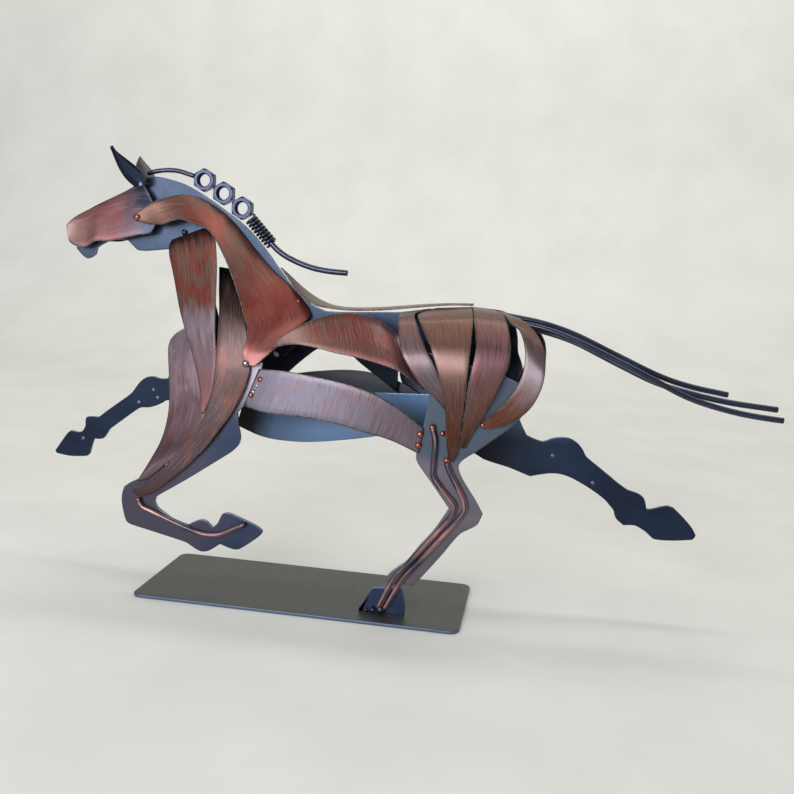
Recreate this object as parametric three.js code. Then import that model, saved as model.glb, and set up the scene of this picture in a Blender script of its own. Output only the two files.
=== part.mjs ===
// Scrap metal horse: a galloping horse welded up from bent sheet strips, cut plates,
// round rods, three hex nuts and a coil spring, standing on one hind hoof on a base plate.
//
// Units are millimetres, +Z is up. The origin is the centre of the base plate's underside.
// The horse faces -X; its left flank is on -Y and its right flank on +Y.

import * as THREE from 'three';

// ---------------------------------------------------------------- driving dimensions

const BASE_LENGTH = 200;
const BASE_DEPTH = 85;
const BASE_THICKNESS = 2;
const BASE_CORNER_RADIUS = 6;
const BASE_CORNER_STEPS = 6;

const SHEET = 1.0;            // thickness of the bent strips
const PLATE = 2.0;            // thickness of the leg plates and the spine plate
const CHEEK = 1.5;            // thickness of the cheek plates
const ROD_RADIUS = 1.75;      // tail, rear mane and hind leg rods
const FRONT_MANE_ROD_RADIUS = 1.45;
const FORELEG_ROD_RADIUS = 1.4;
const GAP = 0.3;              // clearance between pieces that are welded together

const LEG_PLANE = 26;         // distance of the leg plates from the middle plane
const LEG_FACE = LEG_PLANE + PLATE / 2;            // outer face of a leg plate
const ON_LEG = LEG_FACE + GAP + SHEET / 2;         // middle of a strip welded on that face
const FORELEG_BEND = 4;       // how far each bend of a leg rod reaches along the rod
const HINDLEG_BEND = 4;

const NUT_ACROSS_CORNERS = 14.2;
const NUT_HOLE_RADIUS = 4.2;
const NUT_HEIGHT = 5.4;

const SPRING_WIRE_RADIUS = 0.9;
const SPRING_COIL_RADIUS = 3.2;   // to the middle of the wire
const SPRING_TURNS = 8.5;
const SPRING_STEPS_PER_TURN = 9;

const EAR_CROWN = 2.6;            // how far the hollow of an ear bows outwards

// ---------------------------------------------------------------- finishes

const finish = (color, roughness, metalness) => ({ color, roughness, metalness });
const NAVY = finish(0x36496a, 0.5, 0.35);
const COPPER = finish(0x8a5344, 0.5, 0.45);
const PLUM = finish(0x83707c, 0.5, 0.45);
const BLACK = finish(0x2c2f33, 0.55, 0.2);

const horse = new THREE.Group();
horse.name = 'scrap_metal_horse';

function addPiece(name, geometry, look) {
  const mesh = new THREE.Mesh(geometry, new THREE.MeshStandardMaterial(look));
  mesh.name = name;
  horse.add(mesh);
  return mesh;
}

// ---------------------------------------------------------------- building blocks

const LEFT = -1;
const RIGHT = 1;
const sideName = (side) => (side === LEFT ? 'left' : 'right');

// Turns a closed surface right side out, by the sign of its volume.
function faceOutward(positions, triangles) {
  const corner = (i) => new THREE.Vector3().fromArray(positions, 3 * i);
  let volume = 0;
  for (const [a, b, c] of triangles) {
    volume += corner(a).dot(corner(b).cross(corner(c)));
  }
  const ordered = volume > 0 ? triangles : triangles.map(([a, b, c]) => [a, c, b]);
  const geometry = new THREE.BufferGeometry();
  geometry.setAttribute('position', new THREE.Float32BufferAttribute(positions, 3));
  geometry.setIndex(ordered.flat());
  geometry.computeVertexNormals();
  return geometry;
}

// The crown of a rolled sheet is at its full height halfway along, and at each end it
// keeps the part of that height given by the sine of this margin of the half turn.
const CROWN_MARGIN = 0.15;
const TANGENT_STEP = 0.01;

// A bent sheet. Each station gives the sheet's two edges at one place along it, as
// [x, y, z, x, y, z] with y measured outwards from the middle plane, and smooth curves
// run through the stations. `crown` bows the sheet outwards between its edges.
function bentSheet(stations, side, { thickness = SHEET, steps = 18, columns = 2, crown = 0 } = {}) {
  const edge = (offset) => new THREE.CatmullRomCurve3(
    stations.map((s) => new THREE.Vector3(s[offset], side * s[offset + 1], s[offset + 2])),
    false, 'centripetal');
  const edgeA = edge(0);
  const edgeB = edge(3);
  const middle = (t) => {
    const a = edgeA.getPoint(t);
    const b = edgeB.getPoint(t);
    return { a, b, across: b.clone().sub(a) };
  };

  const rows = [];
  for (let i = 0; i <= steps; i += 1) {
    const t = i / steps;
    const { a, b, across } = middle(t);
    const before = middle(Math.max(0, t - TANGENT_STEP));
    const after = middle(Math.min(1, t + TANGENT_STEP));
    const centreAfter = after.a.clone().add(after.b);
    const centreBefore = before.a.clone().add(before.b);
    const along = centreAfter.sub(centreBefore);
    const normal = along.cross(across).normalize();
    const halfTurn = Math.PI * (CROWN_MARGIN + (1 - 2 * CROWN_MARGIN) * t);
    const row = [];
    for (let j = 0; j < columns; j += 1) {
      const u = j / (columns - 1);
      const bow = crown * 4 * u * (1 - u) * Math.sin(halfTurn);
      row.push({ point: a.clone().lerp(b, u).addScaledVector(normal, bow), normal });
    }
    rows.push(row);
  }

  const positions = [];
  for (const row of rows) {
    for (const half of [-0.5, 0.5]) {
      for (const { point, normal } of row) {
        positions.push(...point.clone().addScaledVector(normal, half * thickness).toArray());
      }
    }
  }
  const vertex = (i, layer, j) => (i * 2 + layer) * columns + j;
  const triangles = [];
  const quad = (a, b, c, d) => triangles.push([a, b, c], [a, c, d]);
  for (let i = 0; i < steps; i += 1) {
    for (let j = 0; j < columns - 1; j += 1) {
      quad(vertex(i, 0, j), vertex(i, 0, j + 1), vertex(i + 1, 0, j + 1), vertex(i + 1, 0, j));
      quad(vertex(i, 1, j), vertex(i + 1, 1, j), vertex(i + 1, 1, j + 1), vertex(i, 1, j + 1));
    }
    const last = columns - 1;
    quad(vertex(i, 0, 0), vertex(i + 1, 0, 0), vertex(i + 1, 1, 0), vertex(i, 1, 0));
    quad(vertex(i, 0, last), vertex(i, 1, last), vertex(i + 1, 1, last), vertex(i + 1, 0, last));
  }
  for (let j = 0; j < columns - 1; j += 1) {
    quad(vertex(0, 0, j), vertex(0, 1, j), vertex(0, 1, j + 1), vertex(0, 0, j + 1));
    quad(vertex(steps, 0, j), vertex(steps, 0, j + 1), vertex(steps, 1, j + 1), vertex(steps, 1, j));
  }
  return faceOutward(positions, triangles);
}

// A plate cut from flat stock, standing parallel to the XZ plane with its middle at y.
// The outline is a list of smooth runs of [x, z] points; runs meet at corners.
function cutPlate(runs, y, thickness, pointsPerSpan = 2) {
  const outline = [];
  for (const run of runs) {
    const curve = new THREE.CatmullRomCurve3(
      run.map(([x, z]) => new THREE.Vector3(x, z, 0)), false, 'centripetal');
    const spans = run.length - 1;
    const count = spans === 1 ? 1 : spans * pointsPerSpan;
    for (let i = 0; i < count; i += 1) {
      const { x, y: z } = curve.getPoint(i / count);
      outline.push(new THREE.Vector2(x, z));
    }
  }
  const geometry = new THREE.ExtrudeGeometry(new THREE.Shape(outline), {
    depth: thickness, bevelEnabled: false,
  });
  geometry.rotateX(Math.PI / 2);
  geometry.translate(0, y + thickness / 2, 0);
  return geometry;
}

function polygon(radius, sides, turn = 0) {
  const corners = [];
  for (let i = 0; i < sides; i += 1) {
    const angle = turn + (2 * Math.PI * i) / sides;
    corners.push(new THREE.Vector2(radius * Math.cos(angle), radius * Math.sin(angle)));
  }
  return corners;
}

function sweep(curve, radius, steps, sides = 8) {
  return new THREE.ExtrudeGeometry(new THREE.Shape(polygon(radius, sides)), {
    extrudePath: curve, steps, bevelEnabled: false,
  });
}

// A rod bent at each inner point. The bend starts and ends `bend` away from the point, or
// nearer where the straight beside it is short.
const MOST_OF_A_STRAIGHT = 0.45;

function bentRodPath(points, bend) {
  const knots = points.map((p) => new THREE.Vector3(...p));
  const path = new THREE.CurvePath();
  let from = knots[0];
  for (let i = 1; i < knots.length - 1; i += 1) {
    const toward = (target) => {
      const length = knots[i].distanceTo(target);
      const reach = Math.min(bend, MOST_OF_A_STRAIGHT * length);
      return knots[i].clone().lerp(target, reach / length);
    };
    const start = toward(knots[i - 1]);
    const end = toward(knots[i + 1]);
    path.add(new THREE.LineCurve3(from, start));
    path.add(new THREE.QuadraticBezierCurve3(start, knots[i], end));
    from = end;
  }
  path.add(new THREE.LineCurve3(from, knots[knots.length - 1]));
  return path;
}

const smoothPath = (points) => new THREE.CatmullRomCurve3(
  points.map((p) => new THREE.Vector3(...p)), false, 'centripetal');

// ---------------------------------------------------------------- base

function buildBase() {
  const halfX = BASE_LENGTH / 2 - BASE_CORNER_RADIUS;
  const halfY = BASE_DEPTH / 2 - BASE_CORNER_RADIUS;
  const outline = [];
  for (let corner = 0; corner < 4; corner += 1) {
    const signX = corner === 0 || corner === 3 ? 1 : -1;
    const signY = corner < 2 ? 1 : -1;
    for (let i = 0; i <= BASE_CORNER_STEPS; i += 1) {
      const angle = (Math.PI / 2) * (corner + i / BASE_CORNER_STEPS);
      outline.push(new THREE.Vector2(
        signX * halfX + BASE_CORNER_RADIUS * Math.cos(angle),
        signY * halfY + BASE_CORNER_RADIUS * Math.sin(angle)));
    }
  }
  addPiece('base_plate', new THREE.ExtrudeGeometry(new THREE.Shape(outline), {
    depth: BASE_THICKNESS, bevelEnabled: false,
  }), BLACK);
}

// ---------------------------------------------------------------- spine and head

// The spine plate is the horse's middle silhouette: lower lip, jaw, poll, crest, withers
// and a bar along the back. The neck is open below the crest.
function buildSpine() {
  const runs = [
    [[-159, 207], [-154, 202], [-151, 201], [-146, 204], [-145, 208], [-136, 213]],
    [[-136, 213], [-126, 214], [-122, 211], [-118, 208], [-108, 208.5], [-98, 210]],
    [[-98, 210], [-86, 215], [-76, 222], [-67, 221]],
    [[-67, 221], [-57, 212], [-45, 199], [-32, 186], [-20, 172]],
    [[-20, 172], [-2, 166], [30, 165], [70, 165], [100, 167], [112, 173]],
    [[112, 173], [114, 178]],
    [[114, 178], [104, 181.8], [94, 185], [80, 185.4], [68, 184.4], [58, 182.4], [48, 181]],
    [[48, 181], [30, 179.8], [12, 178.6], [3, 178.6]],
    [[3, 178.6], [-6, 181.7], [-13, 187], [-20, 193.5], [-26, 200.5], [-33.6, 210.2]],
    [[-33.6, 210.2], [-44, 221.5], [-52, 228.3], [-61, 234.2], [-71, 240.5], [-87, 248.8], [-98, 252],
      [-108, 253.3], [-114, 252]],
    [[-114, 252], [-116, 246], [-120, 243], [-140, 235], [-158, 224], [-160, 219], [-157, 213]],
    [[-157, 213], [-148, 211.5], [-157, 210.5], [-159, 207]],
  ];
  addPiece('spine_plate', cutPlate(runs, 0, PLATE), NAVY);
}

// Each cheek plate runs from the muzzle to behind the eye. Its upper edge lies against
// the spine plate and it stands off towards the jaw.
function buildCheek(side) {
  const stations = [
    [-163, 6.0, 220.5, -162.5, 6.5, 218],
    [-160.5, 5.0, 224, -160, 7.4, 210.5],
    [-157, 3.6, 227, -154, 8.2, 208],
    [-150, 2.8, 231, -148.5, 8.4, 208.5],
    [-143, 2.3, 235, -143, 8.5, 212],
    [-135, 2.2, 239, -135, 8.5, 212.5],
    [-125, 2.4, 244, -124, 8.5, 215],
    [-119, 3.6, 247, -114, 8.5, 217.5],
    [-113, 5.6, 247, -107, 8.2, 219],
    [-106, 7.4, 237, -104, 8.0, 224],
  ];
  addPiece(`${sideName(side)}_cheek_plate`,
    bentSheet(stations, side, { thickness: CHEEK, steps: 18 }), COPPER);
}

// An ear is a leaf of sheet rolled into a gutter whose hollow faces the middle plane.
// The right ear is laid a little further forward than the left one.
function buildEar(side) {
  const left = [
    [-127.2, 23.0, 268.0, -126.6, 23.0, 267.4],
    [-126, 20.4, 262.6, -122, 20.0, 264],
    [-124.6, 17, 256.5, -117, 16.4, 260],
    [-122, 12.6, 250.4, -113, 11.8, 256],
    [-118.6, 9.4, 246.8, -110.8, 8.2, 251.6],
    [-117.4, 8.6, 245.6, -110.8, 7.8, 248],
  ];
  const right = [
    [-128.7, 22.6, 266.5, -127.7, 22.6, 266.3],
    [-130.2, 20, 260.8, -123.2, 19.6, 262.6],
    [-129.2, 16.8, 254.8, -118, 16.2, 258.6],
    [-125.6, 12.8, 250.4, -114, 12, 254.8],
    [-120.6, 9.4, 247.6, -112.6, 8.6, 251.6],
    [-118.2, 8.8, 246, -111.6, 8, 248.6],
  ];
  addPiece(`${sideName(side)}_ear`,
    bentSheet(side === LEFT ? left : right, side, { steps: 10, columns: 5, crown: side * EAR_CROWN }),
    NAVY);
}

// ---------------------------------------------------------------- mane

const NUT_CENTRES = [[-76.5, 252.6], [-64.1, 245.3], [-52.1, 237.1]];
const SPRING_START = [-47.1, 0, 231.4];
const SPRING_END = [-33.2, 0, 217];

function buildNut([x, z], index) {
  const shape = new THREE.Shape(polygon(NUT_ACROSS_CORNERS / 2, 6, Math.PI / 6));
  shape.holes.push(new THREE.Path(polygon(NUT_HOLE_RADIUS, 16)));
  const geometry = new THREE.ExtrudeGeometry(shape, { depth: NUT_HEIGHT, bevelEnabled: false });
  geometry.rotateX(Math.PI / 2);
  geometry.translate(x, NUT_HEIGHT / 2, z);
  addPiece(`mane_nut_${index + 1}`, geometry, NAVY);
}

class HelixCurve extends THREE.Curve {
  getPoint(t, target = new THREE.Vector3()) {
    const start = new THREE.Vector3(...SPRING_START);
    const axis = new THREE.Vector3(...SPRING_END).sub(start);
    const up = new THREE.Vector3(-axis.z, 0, axis.x).normalize();
    const angle = 2 * Math.PI * SPRING_TURNS * t;
    return target.copy(start)
      .addScaledVector(axis, t)
      .addScaledVector(up, SPRING_COIL_RADIUS * Math.cos(angle))
      .add(new THREE.Vector3(0, SPRING_COIL_RADIUS * Math.sin(angle), 0));
  }
}

function buildMane() {
  const frontRod = [[-113.4, 0, 254.8], [-109, 0, 256.2], [-102, 0, 257.4], [-94, 0, 257.4], [-83.4, 0, 254.8]];
  addPiece('mane_front_rod', sweep(smoothPath(frontRod), FRONT_MANE_ROD_RADIUS, 10), NAVY);
  NUT_CENTRES.forEach(buildNut);
  const springSteps = Math.round(SPRING_TURNS * SPRING_STEPS_PER_TURN);
  addPiece('mane_spring', sweep(new HelixCurve(), SPRING_WIRE_RADIUS, springSteps, 6), NAVY);
  const rearRod = [[-46.8, 0, 231.1], [-33, 0, 216.8], [-26.5, 0, 211.5], [-17, 0, 207], [-7, 0, 204],
    [3, 0, 202.6], [15, 0, 202.2]];
  addPiece('mane_rear_rod', sweep(smoothPath(rearRod), ROD_RADIUS, 14), NAVY);
}

// ---------------------------------------------------------------- strips

function addStrip(name, stations, side, look, options = {}) {
  addPiece(`${sideName(side)}_${name}`, bentSheet(stations, side, options), look);
}

// From a round tip on the cheek, back under the crest, and down over the shoulder.
function buildNeckStrip(side) {
  const stations = [
    [-117, 9.6, 229.5, -117, 9.6, 226],
    [-111, 9.8, 234, -107, 10.2, 224.5],
    [-104.5, 9.6, 238, -98, 12, 224.5],
    [-95, 8, 241.5, -87, 14, 228],
    [-84, 6, 243, -79, 16, 226.5],
    [-71.5, 4.5, 238.5, -66, 19, 222],
    [-58, 3, 229, -56.5, 22, 210],
    [-42, 2.1, 212, -50, 24, 198],
    [-30.5, 2, 200.5, -44.5, 26, 185.5],
    [-18.5, 2, 191, -40, 28, 174.5],
    [-6, 4, 176, -37, 30, 166.5],
    [-13, 17, 167, -37.5, 31.5, 159],
    [-20.5, 28, 156, -38.5, 32.4, 152],
    [-31, 32.4, 145, -37, 32.4, 146],
  ];
  addStrip('neck_strip', stations, side, COPPER, { steps: 26 });
}

// From the throat down the front of the chest, ending in a point over the shoulder.
function buildThroatStrip(side) {
  const left = [
    [-95.5, 2.2, 215.5, -74, 4, 224],
    [-96, 6, 210.5, -65.5, 12, 220],
    [-90.5, 10, 192.5, -61.5, 17, 204],
    [-85, 14, 175, -59.5, 22, 182],
    [-78.5, 19, 160.5, -58, 25, 161.5],
    [-72.5, 22.5, 147.5, -56, 26.5, 143],
    [-66.5, 25.5, 129.5, -58.5, 27.5, 125.5],
    [-64, 28, 114.5, -62.5, 28, 113.5],
  ];
  const right = [
    [-98.5, 2.2, 213, -84, 4, 217],
    [-100.5, 6, 206, -80, 12, 210],
    [-98, 10, 192, -80, 17, 196],
    [-94, 14, 175, -76, 22, 180],
    [-90, 20, 160, -72, 26, 160],
    [-87, 26, 148, -72, 29, 146],
    [-83, 29.6, 136, -76, 29.8, 134],
    [-80, 29.6, 128, -78, 29.6, 127],
  ];
  addStrip('throat_strip', side === LEFT ? left : right, side, COPPER, { steps: 16 });
}

// The breast of the horse, wrapped around the front of the shoulder down to the knee.
function buildChestStrip(side) {
  const left = [
    [-85.5, 2, 162, -71.5, 12, 165],
    [-91, 4, 158, -70.5, 14, 158],
    [-93.5, 8, 152, -69, 17, 151],
    [-91, 13, 134, -66, 19, 136.5],
    [-89, 17, 112.5, -61.5, 23.5, 120.5],
    [-91.5, 21, 94.5, -65.5, 26, 103],
    [-97.5, 26.8, 79.5, -77, 28.2, 89],
    [-104, 27.9, 68.4, -97, 28, 70.2],
  ];
  const right = [
    [-87, 2, 160, -78, 12, 162],
    [-93, 5, 155, -76, 15, 157],
    [-98, 11, 149, -75, 19, 150],
    [-101.5, 19, 140, -77, 24.5, 142],
    [-105, 27, 131.5, -84, 28, 132],
    [-110, 28, 122, -101, 28, 114],
  ];
  addStrip('chest_strip', side === LEFT ? left : right, side, PLUM, { steps: 16 });
}

// From inside the withers over the shoulder and down the forearm to the knee.
function buildShoulderStrip(side) {
  const left = [
    [-64, 5, 201, -46, 2, 199],
    [-60.5, 14, 187, -44, 17, 183],
    [-57.5, 21, 175, -39.5, 25, 168],
    [-56, 28.5, 148, -34.5, 29.4, 144],
    [-57, 30, 130, -39.5, 30, 125.5],
    [-62, 30.6, 112, -50, 30.6, 107.5],
    [-73, 30.4, 96, -63, 30.4, 90],
    [-93.5, 29.8, 71.2, -87, 29.6, 67.2],
    [-104, 29.4, 65.2, -97.8, 29.2, 60.2],
    [-106.6, 29, 63, -102.8, 29, 59.6],
  ];
  const right = [
    [-64, 5, 193.6, -46, 2, 194.6],
    [-66, 15, 183, -50, 18, 181],
    [-68, 24, 166, -50, 27, 163],
    [-74, 30.5, 147, -56, 31, 141],
    [-86, 31.6, 133, -70, 31.6, 124],
    [-101, 31, 122, -88, 30.6, 112],
    [-116, 29.2, 117, -112, 29.2, 110],
  ];
  addStrip('shoulder_strip', side === LEFT ? left : right, side, COPPER, { steps: 18 });
}

// A leaf of sheet over the ribs. The left one comes to a point at the shoulder and tucks
// under the haunch; the right one arches from the elbow to the stifle.
function buildFlankStrip(side) {
  const left = [
    [-20.6, 34, 157.4, -20, 34, 156.7],
    [-15.8, 34, 163.3, -13.3, 34.5, 159.1],
    [-6.3, 33, 170.4, -5.1, 35.5, 160.4],
    [2.5, 31, 174.8, 8.5, 36.5, 159],
    [12.2, 29, 178.4, 19, 37.3, 157.2],
    [22.2, 28, 180, 31.5, 37.6, 155.7],
    [31.6, 28, 179.5, 42.8, 37.6, 153.3],
    [42.3, 30, 176.4, 54.5, 37.2, 150],
    [51.5, 31, 170.5, 63, 36.4, 144.8],
    [59, 35, 163.5, 70, 34.5, 140],
  ];
  const right = [
    [-54, 34.5, 138, -47, 34.5, 118],
    [-42, 34.5, 150.5, -34, 34.5, 129],
    [-29, 35, 161, -21.5, 35.5, 141.5],
    [-10.2, 33, 171.5, -7.2, 36, 152.9],
    [9.4, 32, 175.4, 5.2, 36, 155.8],
    [27.4, 32, 169.7, 16.3, 36, 146.2],
    [38, 31, 161, 29, 34, 137.7],
    [44.3, 30, 153, 44.8, 32, 127.6],
  ];
  addStrip('flank_strip', side === LEFT ? left : right, side, COPPER, { steps: 18 });
}

// The underline of the barrel, from the elbow to the stifle.
function buildBellyStrip(side) {
  const left = [
    [-29.5, ON_LEG, 143.5, -38, ON_LEG, 121],
    [-13.5, 31, 144, -25.5, 31, 118.5],
    [5, 34, 142.5, 0.5, 34, 118],
    [24.5, 36, 140, 20.5, 35, 116],
    [43.5, 35, 134.5, 36.5, 34, 112.5],
    [57.5, 32, 126.5, 52, 31, 108.5],
    [70.6, ON_LEG, 116.6, 68.4, ON_LEG, 101.4],
  ];
  const right = [
    [-52, ON_LEG, 128, -60, ON_LEG, 98],
    [-35, 29.5, 132, -42, 29, 91.5],
    [-9, 36, 137, -18, 33, 89.5],
    [20, 38.5, 139, 11, 35, 93],
    [46.5, 35.4, 134, 34, 34, 98],
    [62, 31, 127, 55, 31, 104],
    [76, ON_LEG, 126, 73, ON_LEG, 108],
  ];
  addStrip('belly_strip', side === LEFT ? left : right, side, PLUM, { steps: 14 });
}

// Four strips bow out from the spine around each haunch and meet at the stifle. The first
// runs in behind the second, and the second and third are welded edge to edge above and
// below the slit between them. On the right side the first one is broad, and the third one
// is wider where it overlaps the fourth.
const SEAM = 0.45;            // between two strips welded edge to edge

function buildHaunchStrips(side) {
  const wider = (x) => (side === RIGHT ? x : 0);
  const leftFirst = [
    [49, 6, 180.5, 67, 3, 184],
    [50.5, 20, 179, 59.5, 15, 181.5],
    [52.5, 31, 172, 63, 27, 175.5],
    [56.5, 38, 160.5, 69.5, 36, 164],
    [63, 39, 150, 75.5, 38, 154.5],
    [70, 37, 141.3, 80.5, 37, 144.5],
    [77, 35, 135.3, 84.5, 36, 137],
    [82.8, 32.6, 128, 88, 33.4, 129],
    [85.5, ON_LEG, 115, 89, ON_LEG, 115],
  ];
  const rightFirst = [
    [49, 6, 180.5, 67, 3, 184],
    [48.5, 20, 178.4, 60, 15, 181.5],
    [46.5, 31, 170, 63, 27, 175.5],
    [44.5, 36.5, 158, 69.5, 36, 164],
    [44, 38, 146, 73.5, 38, 152],
    [46, 38.4, 134.5, 76, 37, 142],
    [54, 37, 125.5, 79.5, 35, 132.5],
    [66, 33.6, 119, 83.5, 31, 122],
    [80, ON_LEG, 112, 86, ON_LEG, 112],
  ];
  const strips = [
    side === LEFT ? leftFirst : rightFirst,
    [
      [70, 3, 184.5, 90.6, 2, 186.5],
      [62, 16, 181.5, 92.6, 14, 185.5],
      [64, 28, 178, 94.4, 27, 180],
      [72, 39, 166, 95, 38.4, 167],
      [78, 42, 151.5, 94.8, 42, 153.5],
      [81, 40.5, 140, 94.3, 41, 142],
      [83, 37.5, 129, 93.4, 37.6, 128.5],
      [84, 32.5, 114, 92, 32, 114.5],
      [85.5, 29.2, 102, 91, 29.2, 103],
      [87.5, ON_LEG, 98.6, 89.5, ON_LEG, 98.6],
    ],
    [
      [90.6 + SEAM, 2, 186.5, 103, 2, 186],
      [92.6 + SEAM, 14, 185.5, 110, 14, 184.5],
      [94.4 + SEAM, 27, 180, 114 + wider(1.5), 25, 179],
      [97.8, 37.4, 168, 117 + wider(1.5), 35, 168],
      [96.6, 41.2, 154.5, 117 + wider(2.5), 38, 158.5],
      [94.3 + SEAM, 41, 142, 113.5 + wider(9.5), 38, 148.5],
      [93.4 + SEAM, 37.6, 128.5, 109.5 + wider(9.5), 36.5, 138.5],
      [92.3 + SEAM, 33.2, 118, 103.5, 33, 125.5],
      [91.6 + SEAM, 30.8, 110.5, 99, 30, 116.5],
      [93, ON_LEG, 107, 95.6, ON_LEG, 107.4],
    ],
    [
      [106, 2.5, 186, 117.5, 2.5, 182.5],
      [111.5, 12, 183.2, 122, 12, 181.5],
      [115.5, 20, 180, 129.5, 20, 176],
      [121, 27, 177, 135.5, 28, 167],
      [125, 32, 165.5, 137, 34, 155],
      [124.5, 34, 153, 135.5, 35, 145],
      [119.5, 34, 141.5, 130, 34, 133.5],
      [112, 32.5, 131.5, 120, 32, 124.5],
      [107.5, 30.6, 127, 111.5, 30, 120.5],
      [103.7, 29.6, 123.5, 104.7, 29.6, 119.5],
    ],
  ];
  strips.forEach((stations, i) => {
    addStrip(`haunch_strip_${i + 1}`, stations, side, COPPER, { steps: 18 });
  });
}

// A narrow band along the top of the back, from a point on the withers to the croup.
// It is troughed over the withers, where its sides stand higher than its middle.
function buildSaddleStrip() {
  const stations = [
    [-26.5, -0.6, 202.8, -26.5, 0.6, 202.8],
    [-19, -3, 194.6, -20.5, 3, 197.6],
    [-11.8, -6, 187.4, -14.5, 6, 192],
    [-2, -8, 182.2, -5.8, 8, 186],
    [7.5, -7, 181, 5, 7, 182],
    [19, -6, 180.6, 18, 6, 181.2],
    [38, -5, 182, 37, 5, 182.8],
    [60, -5, 185.2, 60, 5, 185.9],
    [78, -4, 187.6, 78, 4, 187.9],
    [92, -3, 188.3, 92, 3, 188.6],
  ];
  addPiece('saddle_strip', bentSheet(stations, RIGHT, { steps: 18 }), COPPER);
}

// ---------------------------------------------------------------- legs

// Rods welded on the outer face of a leg plate, following its bends.
function legRod(points, side, radius, bend) {
  const axis = LEG_FACE + GAP + radius;
  return sweep(bentRodPath(points.map(([x, z]) => [x, side * axis, z]), bend), radius, 18);
}
const forelegRod = (points, side) => legRod(points, side, FORELEG_ROD_RADIUS, FORELEG_BEND);
const hindlegRod = (points, side) => legRod(points, side, ROD_RADIUS, HINDLEG_BEND);

function buildLeftForeleg() {
  const y = -LEG_PLANE;
  const runs = [
    [[-28, 147], [-29, 138], [-34, 127], [-42, 116]],
    [[-42, 116], [-41, 108], [-39.5, 101], [-41, 96], [-46, 91]],
    [[-46, 91], [-70, 74], [-91, 60]],
    [[-91, 60], [-92.5, 56.5], [-90, 52.5]],
    [[-90, 52.5], [-81, 47], [-71, 44]],
    [[-71, 44], [-63, 48], [-59, 47.5], [-55, 44]],
    [[-55, 44], [-52, 47], [-49.5, 52.5], [-47, 54], [-43, 53.5]],
    [[-43, 53.5], [-33, 50], [-26, 47], [-23.5, 44.5], [-26, 41]],
    [[-26, 41], [-37, 32.5], [-41, 31.5], [-50, 34]],
    [[-50, 34], [-57, 29], [-62, 28], [-66, 29.5]],
    [[-66, 29.5], [-73, 33], [-106, 40], [-110.5, 42], [-112.5, 47]],
    [[-112.5, 47], [-114, 55], [-112.5, 64], [-103, 70]],
    [[-103, 70], [-88, 79], [-68, 92], [-54, 107], [-48, 124], [-44, 147]],
    [[-44, 147], [-28, 147]],
  ];
  addPiece('left_foreleg_plate', cutPlate(runs, y, PLATE), NAVY);
  const rod = [[-102, 56], [-101.2, 53.2], [-65, 40.3], [-58, 39.2], [-49.6, 40.2], [-35.2, 48.2]];
  addPiece('left_foreleg_rod', forelegRod(rod, LEFT), NAVY);
}

function buildRightForeleg() {
  const y = LEG_PLANE;
  const runs = [
    [[-60, 142], [-74, 132], [-90, 128], [-104, 126]],
    [[-104, 126], [-112, 125], [-117, 126], [-122, 125], [-127, 121], [-132, 114], [-140, 107.5],
      [-149, 100.5], [-155, 95.5]],
    [[-155, 95.5], [-160, 95.5], [-164, 94.5], [-164.5, 89]],
    [[-164.5, 89], [-166.5, 85], [-170, 84], [-175, 84.5], [-178.5, 81]],
    [[-178.5, 81], [-186, 70]],
    [[-186, 70], [-184.5, 68], [-164, 68], [-161, 70]],
    [[-161, 70], [-159.5, 76], [-158, 80.5]],
    [[-158, 80.5], [-152, 81], [-149.5, 84], [-147, 88]],
    [[-147, 88], [-137, 96], [-128, 103], [-125, 104.5], [-120, 105], [-114, 107], [-107, 111]],
    [[-107, 111], [-92, 113], [-72, 120], [-54, 134]],
    [[-54, 134], [-60, 142]],
  ];
  addPiece('right_foreleg_plate', cutPlate(runs, y, PLATE), NAVY);
  const rod = [[-119, 112], [-128, 108], [-150, 91.5], [-161, 84], [-172, 75]];
  addPiece('right_foreleg_rod', forelegRod(rod, RIGHT), NAVY);
}

function buildLeftHindLeg() {
  const y = -LEG_PLANE;
  const runs = [
    [[69, 161], [92, 155.5], [115, 150], [123, 147]],
    [[123, 147], [127, 140], [127, 130], [120, 121]],
    [[120, 121], [101, 105], [94, 99.5], [92, 95.5], [94.5, 89], [103, 77], [108, 69]],
    [[108, 69], [105, 62], [96, 56], [87, 43.5], [77, 30], [70, 21]],
    [[70, 21], [63, 21.5], [55, 20]],
    [[55, 20], [53.5, 24], [58, 30], [65, 36], [72, 46], [80, 56.5], [85, 65], [88, 70.5]],
    [[88, 70.5], [75, 87], [70, 93], [67, 98], [67, 102]],
    [[67, 102], [70, 118], [72, 136], [69, 161]],
  ];
  addPiece('left_hindleg_plate', cutPlate(runs, y, PLATE), NAVY);
  const hoof = [
    [[46, 17.5], [40, 7], [38, 3.2], [40, 2.3]],
    [[40, 2.3], [66, 2.3]],
    [[66, 2.3], [65.8, 10], [63.7, 18.8]],
    [[63.7, 18.8], [46, 17.5]],
  ];
  addPiece('left_hind_hoof_plate', cutPlate(hoof, y, PLATE), NAVY);
  const front = [[75.5, 117.6], [77.8, 111], [77.4, 88.4], [93.4, 70.9], [65.4, 33.7], [57.9, 24.3], [50.6, 6.4]];
  const rear = [[85.2, 98], [86.4, 94], [96.6, 76.9], [98.2, 70.2], [73.5, 38], [63, 24.2], [54.3, 5.8]];
  addPiece('left_hindleg_front_rod', hindlegRod(front, LEFT), COPPER);
  addPiece('left_hindleg_rear_rod', hindlegRod(rear, LEFT), COPPER);
}

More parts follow.
